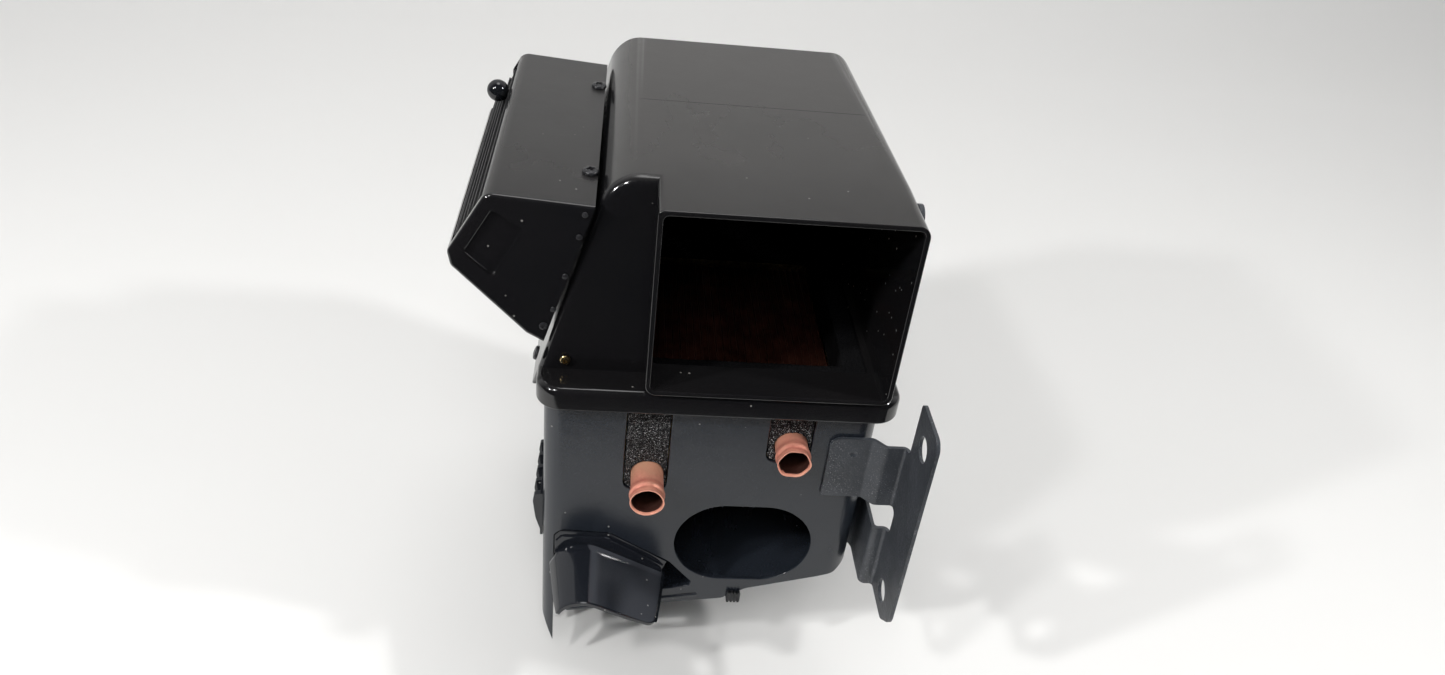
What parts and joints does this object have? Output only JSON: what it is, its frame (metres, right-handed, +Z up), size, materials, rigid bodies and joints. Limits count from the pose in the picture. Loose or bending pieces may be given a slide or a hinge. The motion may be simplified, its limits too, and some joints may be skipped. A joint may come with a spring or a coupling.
{
  "type": "vehicle cabin heater box",
  "caption": "Moulded cabin heater box with a rectangular air inlet, flat heater core with two copper pipes, side vent with a ball-knob flap, floor outlet and a steel mounting bracket.",
  "frame": {"origin": "centre of the bounding box in plan, on the plane the box stands on", "axes": "+Z up, -Y to the front where the air inlet and pipes are, +X to the right where the bracket is"},
  "size_m": [0.259, 0.2924, 0.347],
  "materials": {
    "housing_black": "satin moulded black plastic, glossier where it was touched up",
    "case_plastic": "semi-matt blue-black moulded plastic",
    "bracket_paint": "black paint with orange peel",
    "door_sheet": "matt black sheet steel",
    "foam": "open-cell black foam",
    "plated_steel": "zinc plated",
    "knob_gloss": "polished black",
    "core_fins": "copper fins, dull",
    "core_brass": "soldered brass, dull",
    "copper": "worn copper tube",
    "brass_screw": "yellow passivated",
    "clip_steel": "dark spring steel",
    "black_screw": "black oxide"
  },
  "bodies": {
    "housing": {"upper_housing": "housing_black", "lower_case": "case_plastic", "floor_duct": "case_plastic", "side_louvre_grille": "housing_black", "floor_scoop": "housing_black", "mounting_bracket": "bracket_paint", "vent_box": "housing_black", "core_block": "core_fins", "core_header_front": "core_brass", "core_header_rear": "core_brass", "core_front_tank": "core_brass", "core_rear_tank": "core_brass", "core_side_plate_left": "core_brass", "core_side_plate_right": "core_brass", "heater_pipe_left": "copper", "heater_pipe_right": "copper", "pipe_seal_left": "foam", "pipe_seal_right": "foam", "core_gasket": "foam", "vent_screw_front": "black_screw", "vent_screw_rear": "black_screw", "web_screw": "brass_screw", "side_screw": "black_screw", "vent_rivet_1": "black_screw", "vent_rivet_2": "black_screw", "vent_rivet_3": "black_screw", "vent_rivet_4": "black_screw", "vent_rivet_5": "black_screw", "flange_screw_right_front": "black_screw", "flange_screw_right_rear": "black_screw", "flange_screw_left_rear": "black_screw", "flange_screw_back_left": "black_screw", "flange_screw_back_right": "black_screw", "bracket_screw_upper": "black_screw", "bracket_screw_lower": "black_screw", "edge_clip": "clip_steel"},
    "vent_flap": {"vent_flap": "housing_black", "vent_flap_seal": "foam", "vent_flap_pin": "plated_steel", "ball_knob": "knob_gloss", "knob_screw": "plated_steel"},
    "air_door": {"air_door": "door_sheet", "air_door_seal": "foam", "air_door_shaft": "plated_steel", "air_door_crank": "bracket_paint"},
    "floor_door": {"floor_door": "door_sheet", "floor_door_seal": "foam", "floor_door_shaft": "plated_steel", "floor_door_crank": "bracket_paint"}
  },
  "joints": [
    {"name": "vent_flap_hinge", "type": "hinge", "parent": "housing", "child": "vent_flap", "pos_m": [-0.11718, -0.06955, 0.31743], "axis": [0.5057, 0, 0.8627], "range_deg": [0, 55]},
    {"name": "air_door_hinge", "type": "hinge", "parent": "housing", "child": "air_door", "pos_m": [0.04349, -0.06725, 0.333], "axis": [1, 0, 0], "range_deg": [-84, 0]},
    {"name": "floor_door_hinge", "type": "hinge", "parent": "housing", "child": "floor_door", "pos_m": [0.01649, -0.00225, 0.068], "axis": [1, 0, 0], "range_deg": [0, 68]}
  ]
}
